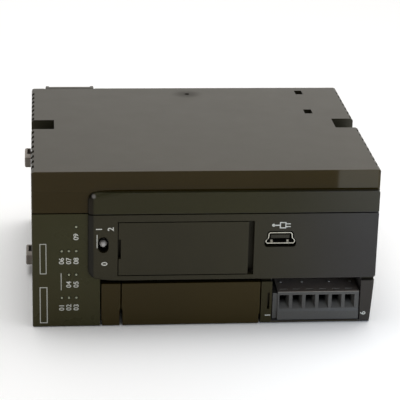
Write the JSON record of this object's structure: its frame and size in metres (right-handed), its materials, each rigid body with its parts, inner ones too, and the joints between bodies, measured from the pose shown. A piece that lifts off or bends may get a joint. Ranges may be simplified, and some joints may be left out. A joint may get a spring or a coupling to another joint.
{
  "type": "programmable controller module",
  "caption": "Compact rail-mounted programmable controller CPU module with card cover, mode switch, USB socket, indicators and a plug-in terminal block.",
  "frame": {"origin": "centre of the overall footprint, on the surface that the module's left side face lies on", "axes": "+X from the module's top end to its bottom end, +Y from the front towards the rail clip at the rear, +Z from the left side face to the right side face"},
  "size_m": [0.0938, 0.08, 0.043],
  "materials": {
    "case": "fine-grained moulded plastic, dark olive brown",
    "bezel": "fine-grained moulded plastic, near black",
    "dark": "moulded connector plastic",
    "indicator_film": "smoked film, satin",
    "light_guide": "clear moulded acrylic",
    "hook": "light grey moulded plastic",
    "knob": "light grey moulded plastic",
    "nickel": "nickel-plated steel, satin",
    "board": "glass-epoxy circuit board with solder mask",
    "chip": "moulded epoxy",
    "terminal": "moulded grey-black plastic",
    "holder": "moulded plastic",
    "ferrite": "pressed ferrite and varnish",
    "can": "drawn can, satin"
  },
  "bodies": {
    "case": {"right_shell": "case", "left_shell": "case", "rear_base": "case", "option_bay_strip": "case", "front_bezel": "bezel", "indicator_panel": "indicator_film", "indicator_light_guide": "light_guide", "usb_shell": "nickel", "sd_card_socket": "nickel", "board_screw_1": "nickel", "board_screw_2": "nickel", "board_screw_3": "nickel", "board_screw_4": "nickel", "mode_switch_body": "chip", "usb_insulator": "chip", "processor_chip": "chip", "memory_chip": "chip", "terminal_header": "dark", "option_connector": "dark", "bus_connector_left": "dark", "bus_connector_right": "dark", "board_link_connector": "dark", "main_board": "board", "power_board": "board", "coin_cell_holder": "holder", "coin_cell": "can", "bulk_capacitor": "can", "power_inductor": "ferrite", "isolation_transformer": "ferrite"},
    "card_cover": {"sd_card_cover": "bezel"},
    "mode_lever": {"mode_switch_lever": "knob"},
    "plug": {"terminal_plug": "terminal"},
    "rail_lock": {"rail_lock_lever": "hook"},
    "bay_cover": {"option_bay_cover": "case"},
    "bus_cover": {"bus_connector_cover": "case"},
    "plug_screw_1": {"terminal_screw_1": "nickel"},
    "plug_screw_2": {"terminal_screw_2": "nickel"},
    "plug_screw_3": {"terminal_screw_3": "nickel"},
    "plug_screw_4": {"terminal_screw_4": "nickel"},
    "plug_screw_5": {"terminal_screw_5": "nickel"},
    "plug_screw_6": {"terminal_screw_6": "nickel"},
    "hook_top_left": {"joining_hook_top_left": "hook"},
    "hook_top_right": {"joining_hook_top_right": "hook"},
    "hook_bottom_left": {"joining_hook_bottom_left": "hook"},
    "hook_bottom_right": {"joining_hook_bottom_right": "hook"}
  },
  "joints": [
    {"name": "card_cover_hinge", "type": "hinge", "parent": "case", "child": "card_cover", "pos_m": [0.0103, -0.0384, 0.0222], "axis": [0, 0, 1], "range_deg": [0, 100]},
    {"name": "mode_switch_tip", "type": "hinge", "parent": "case", "child": "mode_lever", "pos_m": [-0.0267, -0.0346, 0.0234], "axis": [1, 0, 0], "range_deg": [-12, 12]},
    {"name": "plug_pull", "type": "slide", "parent": "case", "child": "plug", "axis": [0, -1, 0], "range_m": [0, 0.01]},
    {"name": "rail_lock_pull", "type": "slide", "parent": "case", "child": "rail_lock", "axis": [1, 0, 0], "range_m": [0, 0.004]},
    {"name": "bay_cover_pull", "type": "slide", "parent": "case", "child": "bay_cover", "axis": [0, -1, 0], "range_m": [0, 0.016]},
    {"name": "bus_cover_pull", "type": "slide", "parent": "case", "child": "bus_cover", "axis": [0, 0, 1], "range_m": [0, 0.012]},
    {"name": "plug_screw_1_turn", "type": "hinge", "parent": "plug", "child": "plug_screw_1", "pos_m": [0.02115, -0.0331, 0.00135], "axis": [0, 0, 1], "continuous": true},
    {"name": "plug_screw_2_turn", "type": "hinge", "parent": "plug", "child": "plug_screw_2", "pos_m": [0.02465, -0.0331, 0.00135], "axis": [0, 0, 1], "continuous": true},
    {"name": "plug_screw_3_turn", "type": "hinge", "parent": "plug", "child": "plug_screw_3", "pos_m": [0.02815, -0.0331, 0.00135], "axis": [0, 0, 1], "continuous": true},
    {"name": "plug_screw_4_turn", "type": "hinge", "parent": "plug", "child": "plug_screw_4", "pos_m": [0.03165, -0.0331, 0.00135], "axis": [0, 0, 1], "continuous": true},
    {"name": "plug_screw_5_turn", "type": "hinge", "parent": "plug", "child": "plug_screw_5", "pos_m": [0.03515, -0.0331, 0.00135], "axis": [0, 0, 1], "continuous": true},
    {"name": "plug_screw_6_turn", "type": "hinge", "parent": "plug", "child": "plug_screw_6", "pos_m": [0.03865, -0.0331, 0.00135], "axis": [0, 0, 1], "continuous": true},
    {"name": "hook_top_left_slide", "type": "slide", "parent": "case", "child": "hook_top_left", "axis": [0, -1, 0], "range_m": [0, 0.003]},
    {"name": "hook_top_right_slide", "type": "slide", "parent": "case", "child": "hook_top_right", "axis": [0, -1, 0], "range_m": [0, 0.003]},
    {"name": "hook_bottom_left_slide", "type": "slide", "parent": "case", "child": "hook_bottom_left", "axis": [0, -1, 0], "range_m": [0, 0.003]},
    {"name": "hook_bottom_right_slide", "type": "slide", "parent": "case", "child": "hook_bottom_right", "axis": [0, -1, 0], "range_m": [0, 0.003]}
  ]
}
